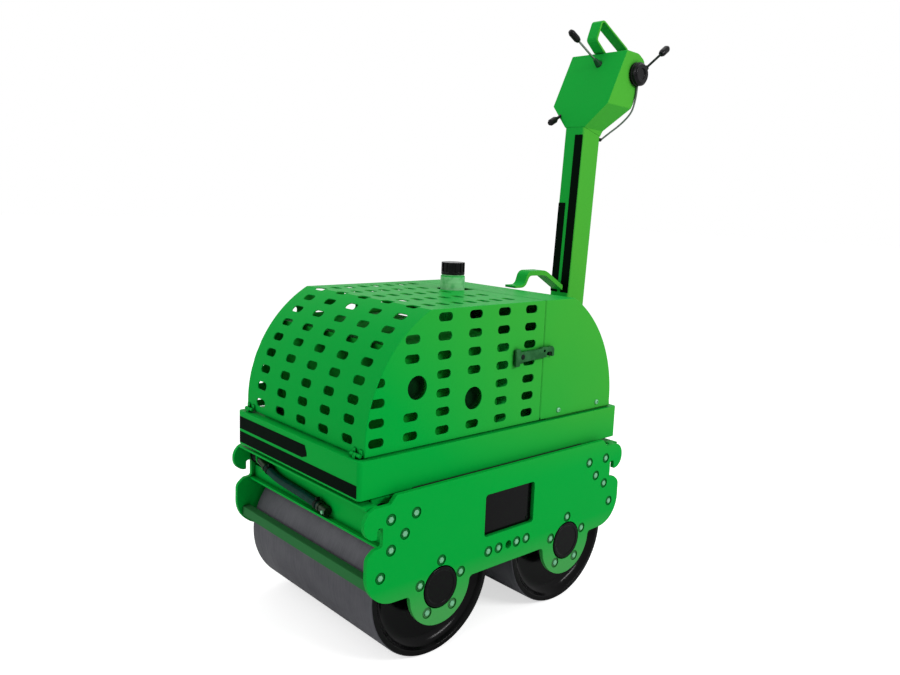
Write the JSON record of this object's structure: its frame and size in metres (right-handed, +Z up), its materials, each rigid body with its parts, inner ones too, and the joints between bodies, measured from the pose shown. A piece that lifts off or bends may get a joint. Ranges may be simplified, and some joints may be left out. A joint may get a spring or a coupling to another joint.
{
  "type": "walk-behind roller",
  "caption": "Walk-behind tandem drum roller with perforated tilting hood, side plates with lashing hooks and a folding steering bar.",
  "frame": {"origin": "on the ground, midway between the two drums and midway between the side plates", "axes": "+Z up; +X towards the machine's left side; +Y to the rear, where the operator stands, so the perforated nose faces -Y"},
  "size_m": [0.664, 1.3776, 1.7963],
  "materials": {
    "green_paint": "gloss",
    "black_paint": "satin",
    "drum_steel": "worn",
    "cast_hub": "painted",
    "zinc_steel": "zinc plated",
    "bright_steel": "polished",
    "rubber": "matt",
    "black_plastic": "moulded",
    "green_plastic": "moulded",
    "brass_fitting": "dull",
    "grey_cable": "sheathed",
    "engine_alloy": "cast"
  },
  "bodies": {
    "root": {"side_plate_left": "green_paint", "side_plate_right": "green_paint", "front_hub_left": "cast_hub", "front_hub_right": "cast_hub", "rear_hub_left": "cast_hub", "rear_hub_right": "cast_hub", "window_cover_left": "black_paint", "window_cover_right": "black_paint", "front_cross_member": "green_paint", "rear_cross_member": "green_paint", "front_scraper": "green_paint", "rear_scraper": "green_paint", "centre_beam": "green_paint", "deck": "green_paint", "side_buffers": "rubber", "buffer_plates": "zinc_steel", "sprinkler_hose": "rubber", "hose_elbow": "brass_fitting", "engine": "engine_alloy", "water_tank": "green_plastic", "tank_cap": "black_plastic", "rear_cover_back": "green_paint", "rear_cover_left": "green_paint", "rear_cover_right": "green_paint", "cover_rails": "green_paint", "seam_strip": "black_paint", "bar_rest": "green_paint", "hinge_pins": "zinc_steel", "latch_pegs": "zinc_steel", "handle_bracket": "green_paint", "handle_pin": "zinc_steel"},
    "front_drum": {"front_drum_shell": "drum_steel", "front_drum_ends": "black_paint"},
    "rear_drum": {"rear_drum_shell": "drum_steel", "rear_drum_ends": "black_paint"},
    "hood": {"hood_wrap": "green_paint", "hood_side_left": "green_paint", "hood_side_right": "green_paint", "hinge_leaves": "zinc_steel", "hood_latches": "rubber"},
    "handlebar": {"steering_stem": "green_paint", "control_head": "green_paint", "grab_loop": "green_paint", "travel_lever_hub": "black_plastic", "travel_lever_rod": "bright_steel", "travel_lever_knob": "black_plastic", "front_lever_boot": "rubber", "front_lever_rod": "bright_steel", "front_lever_knob": "black_plastic", "stop_knob": "black_plastic", "cable_gland": "rubber", "control_cable": "grey_cable"}
  },
  "joints": [
    {"name": "front_drum_spin", "type": "hinge", "parent": "root", "child": "front_drum", "pos_m": [0, -0.25, 0.2], "axis": [1, 0, 0], "continuous": true},
    {"name": "rear_drum_spin", "type": "hinge", "parent": "root", "child": "rear_drum", "pos_m": [0, 0.25, 0.2], "axis": [1, 0, 0], "continuous": true},
    {"name": "hood_hinge", "type": "hinge", "parent": "root", "child": "hood", "pos_m": [0, -0.481, 0.583], "axis": [1, 0, 0], "range_deg": [0, 75]},
    {"name": "handlebar_fold", "type": "hinge", "parent": "root", "child": "handlebar", "pos_m": [0, 0.56, 0.52], "axis": [-1, 0, 0], "range_deg": [0, 65]}
  ]
}
